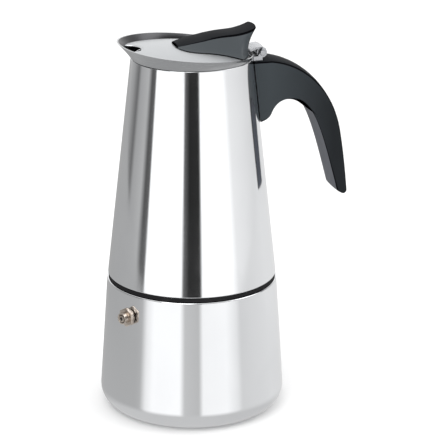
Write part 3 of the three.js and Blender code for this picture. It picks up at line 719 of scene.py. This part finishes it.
def makeHandle():
    top = mouthZ - handle["drop"]
    tipX = handleHigh.x
    tipZ = handleLow.z + handle["tipLift"]
    archX = mouthRadius + handle["archReach"]
    archZ = top - handle["archDrop"]
    outer = curveAlong([
        (mouthRadius - 3, top), (mouthRadius + 2, top), (mouthRadius + 6, top), (mouthRadius + 9, top),
        (mouthRadius + 26, top - 2), (tipX - 8.5, top - 16), (tipX - 4.3, top - 42),
        (tipX - 2.6, top - 52), (tipX - 1.4, tipZ + 16), (tipX - 0.2, tipZ + 2),
        (tipX - 0.1, tipZ + 1.3), (tipX - 0.5, tipZ), (tipX - 2.0, tipZ),
    ])
    inner = curveAlong([
        (mouthRadius - 3, top - 33.3), (mouthRadius + 4.6, top - 33.6), (archX - 12.4, archZ - 10.6),
        (archX - 11.5, archZ - 7.5), (archX - 9, archZ - 1.6), (archX - 4.6, archZ),
        (archX, archZ), (archX + 12, archZ - 0.5), (tipX - 14, tipZ + 34), (tipX - 5.6, tipZ + 2.4),
        (tipX - 5.3, tipZ + 1.5), (tipX - 4.5, tipZ + 1), (tipX - 3.2, tipZ + 0.4),
    ])
    bm = faceBlock(96, 10, 10)
    for face in bm.faces:
        heights = [vert.co.z for vert in face.verts]
        isGrip = max(heights) < 0.01 and min(vert.co.x for vert in face.verts) > -0.2
        isTop = min(heights) > 0.99
        middle = face.calc_center_median()
        isEdge = abs(middle.y if isGrip or isTop else middle.z - 0.5) > handle["edgeRow"] / 2
        # edges take painted shade, and the grip face takes painted light
        face.material_index = 1 if isEdge else 2 if isGrip else 3 if isTop else 0
    for vert in bm.verts:
        along = vert.co.x + 0.5
        height = (sampleAt(outer, along) - sampleAt(inner, along)).length
        side = rowPlace(2 * vert.co.y, handle["edgeRow"], handle["edge"] / handle["half"])
        up = (rowPlace(2 * vert.co.z - 1, handle["edgeRow"], 2 * handle["edge"] / height) + 1) / 2
        place = sampleAt(inner, along).lerp(sampleAt(outer, along), up)
        crown = handle["crown"] * (1 - side ** 2) * (2 * up - 1) * min(1, along * 12)
        reach = (sampleAt(outer, along) - sampleAt(inner, along)).normalized()
        place += reach * crown * (0.5 if up < 0.5 else 1)
        if abs(side) > 0.99 and abs(up - 0.5) > 0.49:
            place -= reach * handle["edge"] * handle["chamfer"] * (1 if up > 0.5 else -1)
            side *= 1 - handle["chamfer"] * handle["edge"] / handle["half"]
        place.y = side * handle["half"]
        hug = coneRadius(place.z) + handle["hug"]
        place.x = max(place.x, math.sqrt(hug ** 2 - place.y ** 2))
        vert.co = place
    # sorted by place first, so that the merge goes the same way each run
    bm.verts.sort(key=lambda vert: vert.co.dot(Vector((1000, 30, 1))))
    bmesh.ops.remove_doubles(bm, verts=bm.verts[:], dist=0.01)
    ear = finishPiece(bm, "ear_handle", "collector", handlePlastic, ["handle"],
                      sharp=50, edgeFinish=edgePaintedShade, capFinish=gripPaintedLight)
    ear.data.materials.append(topPlastic)


makeHandle()
print("stage: lever and handle")


valve = {"turn": -150, "height": 60.6, "flats": 9.4, "washer": 0.5, "washerBore": 3.3, "hex": 1.7,
         "barrel": 3.0, "barrelRadius": 3.1, "bore": 2.2, "shank": 3, "shankStart": 41.6, "overlap": 0.2}


def makeValve():
    around = Matrix.Rotation(math.radians(valve["turn"]), 4, "Z")
    place = Matrix.Translation((0, 0, valve["height"])) @ around @ Matrix.Rotation(math.pi / 2, 4, "Y")
    across = valve["flats"] / 2
    overlap = valve["overlap"]
    washerRadius = across - gap
    washerStart = boilerRadius(valve["height"] - washerRadius) + gap
    washerEnd = washerStart + valve["washer"]
    hexStart = washerEnd + gap
    barrelStart = hexStart + valve["hex"]
    barrelEnd = barrelStart + valve["barrel"]
    turnedPiece("valve_flange", [
        (washerRadius, washerStart, 0.1), (washerRadius, washerEnd, 0.1),
        (valve["washerBore"], washerEnd, 0.1), (valve["washerBore"], washerStart, 0.1),
    ], "boiler", brass, ["valve_washer"], steps=64, place=place)
    bm = bmesh.new()
    hexCorner = across / math.cos(math.pi / 6)
    drawProfile(bm, [(0, hexStart), (hexCorner, hexStart), (hexCorner, barrelStart), (0, barrelStart)])
    spinRound(bm, 6)
    bmesh.ops.transform(bm, matrix=place, verts=bm.verts[:])
    finishPiece(bm, "valve_hex", "boiler", brass, ["valve_body"], edge=0.45)
    turnedPiece("valve_mouth", [
        (valve["bore"], barrelStart - overlap, 0), (valve["barrelRadius"], barrelStart - overlap, 0),
        (valve["barrelRadius"], barrelEnd, 0.35), (valve["bore"], barrelEnd, 0.35),
    ], "boiler", brass, (), steps=48, place=place)
    turnedPiece("valve_shank", [
        (0, valve["shankStart"]), (valve["shank"], valve["shankStart"], 0.3),
        (valve["shank"], hexStart + overlap, 0), (0, hexStart + overlap),
    ], "boiler", brass, (), steps=40, place=place, closed=False)


makeValve()

# the pieces that keep the shape they have in the frame
carriedOver = [
    (brass, ["valve_nut", "valve_retainer"]),
    # the pin and spring take the painted shade steel
    (paintedShadeSteel, ["valve_pin", "valve_spring"]),
    (hingeSteel, ["funnel_screen", "filter_plate", "column_cap", "hinge_bracket",
                  "lever_screw_1", "lever_screw_2", "handle_tab", "handle_screw"]),
]
for finish, nodes in carriedOver:
    for node in nodes:
        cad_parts[node].data.materials.clear()
        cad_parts[node].data.materials.append(finish)
print("stage: valve and carried-over pieces")


# tent heights and sizes are in metres, and the shades are brightness
studio = {"floor": 0.93, "floorHalf": 6, "floorDrop": 0.0002, "world": 1.0, "tent": 3.0, "tentLow": -2.6,
          "seam": -0.44, "brow": 0.14, "tentHigh": 2.4, "brightest": 1.4, "fadeTop": -0.85, "under": 0.62,
          "cameraTurn": -15, "cameraOut": 1.15, "cameraHeight": 0.486, "cameraPitch": 18.5,
          "lens": 180.4, "sensor": 36, "shift": 0.0719}


def plainMaterial(name, tone, strength=None):
    finish = Finish(name)
    if strength is None:
        return finish.close(Base_Color=(*tone, 1), Roughness=0.7)
    glow = finish.add("Emission", None, {"Color": (*tone, 1), "Strength": strength})
    output = finish.tree.nodes.new("ShaderNodeOutputMaterial")
    finish.tree.links.new(glow.socket, output.inputs["Surface"])
    return finish.material


def stagePiece(bm, name, material):
    mesh = bpy.data.meshes.new(name)
    bm.to_mesh(mesh)
    bm.free()
    mesh.materials.append(material)
    piece = bpy.data.objects.new(name, mesh)
    bpy.context.scene.collection.objects.link(piece)
    return piece


# a card that lights nothing and only shows in reflections
def reflectedCard(bm, name, material):
    card = stagePiece(bm, name, material)
    card.visible_camera = False
    card.visible_diffuse = False
    card.visible_shadow = False
    return card


def makeFloor():
    bm = bmesh.new()
    bmesh.ops.create_grid(bm, x_segments=1, y_segments=1, size=studio["floorHalf"])
    floor = stagePiece(bm, "floor", plainMaterial("paleFloor", (studio["floor"],) * 3))
    floor.location.z = -studio["floorDrop"]
    floor.visible_glossy = False


# a round tent of shaded cards that only shows in reflections
# stops are (degrees round from the camera, anticlockwise from above, brightness)
def makeTent(name, stops, low, high):
    bm = bmesh.new()
    behind = math.radians(studio["cameraTurn"] + 90)
    ends = [bm.verts.new((studio["tent"] * math.cos(behind), studio["tent"] * math.sin(behind), z))
            for z in (low, high)]
    bm.edges.new(ends)
    bmesh.ops.spin(bm, geom=bm.verts[:] + bm.edges[:], cent=(0, 0, 0), axis=(0, 0, 1),
                   angle=2 * math.pi, steps=120, use_merge=True)
    finish = Finish(name)
    coords = finish.add("TexCoord", output="Object")
    x = finish.add("SeparateXYZ", None, {"Vector": coords}, "X")
    y = finish.add("SeparateXYZ", None, {"Vector": coords}, "Y")
    front = math.radians(studio["cameraTurn"] - 90)
    forward = x * math.cos(front) + y * math.sin(front)
    across = y * math.cos(front) - x * math.sin(front)
    share = across.maths("ARCTAN2", across, forward) / (2 * math.pi) + 0.5
    places = [((turn + 180) / 360, shade / studio["brightest"]) for turn, shade in stops]
    shade = finish.ramp(share, places)
    if low < studio["seam"]:
        z = finish.add("SeparateXYZ", None, {"Vector": coords}, "Z")
        depth = (studio["fadeTop"] - z) / (studio["fadeTop"] - low)
        blend = finish.ramp(depth, [(0, 0), (0.7, 1)])
        under = studio["under"] / studio["brightest"]
        shade = finish.mixColor(blend, shade, (under, under, under))
    glow = finish.add("Emission", None, {"Color": shade, "Strength": studio["brightest"]})
    output = finish.tree.nodes.new("ShaderNodeOutputMaterial")
    finish.tree.links.new(glow.socket, output.inputs["Surface"])
    reflectedCard(bm, name, finish.material)


# a card far under the floor, for the base's rounded corner
def makeUnderCard():
    bm = bmesh.new()
    bmesh.ops.create_circle(bm, cap_ends=True, radius=studio["tent"], segments=64)
    card = reflectedCard(bm, "underCard", plainMaterial("underCard", (studio["under"],) * 3, 1))
    card.location.z = studio["tentLow"]


def makeWorld():
    world = bpy.data.worlds.new("studio")
    world.use_nodes = True
    world.node_tree.nodes["Background"].inputs["Color"].default_value = (1, 1, 1, 1)
    world.node_tree.nodes["Background"].inputs["Strength"].default_value = studio["world"]
    bpy.context.scene.world = world
    bpy.context.scene.view_settings.view_transform = "Standard"


def makeLight(name, place, size, power):
    light = bpy.data.lights.new(name, "AREA")
    light.energy = power
    light.size = size
    lamp = bpy.data.objects.new(name, light)
    lamp.location = place
    lamp.rotation_euler = (Vector((0, 0, 0.1)) - Vector(place)).to_track_quat("-Z", "Y").to_euler()
    bpy.context.scene.collection.objects.link(lamp)


def makeCamera():
    turn = math.radians(studio["cameraTurn"])
    camera = bpy.data.objects.new("camera", bpy.data.cameras.new("camera"))
    camera.location = (studio["cameraOut"] * math.sin(turn), -studio["cameraOut"] * math.cos(turn),
                       studio["cameraHeight"])
    camera.rotation_euler = (math.radians(90 - studio["cameraPitch"]), 0, turn)
    camera.data.lens = studio["lens"]
    camera.data.sensor_width = studio["sensor"]
    camera.data.shift_x = studio["shift"]
    bpy.context.scene.collection.objects.link(camera)
    bpy.context.scene.camera = camera


makeFloor()
makeWorld()
# the middle row shows in the collector, the low row in the boiler and the high row in the lid and collar
makeTent("middleTent", [
    (-180, 0.64), (-128, 0.36), (-112, 0.16), (-104, 0.40), (-84, 0.50), (-76, 0.10), (-68, 0.13),
    (-66, 1.3), (-14, 1.3), (-12, 0.16), (-4, 0.025), (12, 0.03), (14, 1.3), (56, 1.3), (66, 0.95),
    (110, 0.80), (150, 0.64), (180, 0.42),
], studio["seam"], studio["brow"])
makeTent("lowTent", [
    (-180, 0.40), (-150, 0.42), (-75, 0.46), (-68, 0.5), (-60, 0.95), (-50, 1.15), (-15, 1.15), (-9, 0.62),
    (9, 0.56), (14, 1.05), (45, 1.12), (60, 0.92), (66, 0.74), (120, 0.84), (170, 0.80), (180, 0.6),
], studio["tentLow"], studio["seam"])
makeTent("highTent", [
    (-180, 1.25), (-160, 1.1), (-135, 0.5), (-95, 0.10), (95, 0.10), (135, 0.5), (160, 1.1), (180, 1.25),
], studio["brow"], studio["tentHigh"])
makeUnderCard()
makeLight("key", (-0.9, -1.2, 1.6), 1.4, 18)
makeLight("fill", (1.4, -0.4, 1.2), 1.2, 8)
makeCamera()
print("stage: studio set")
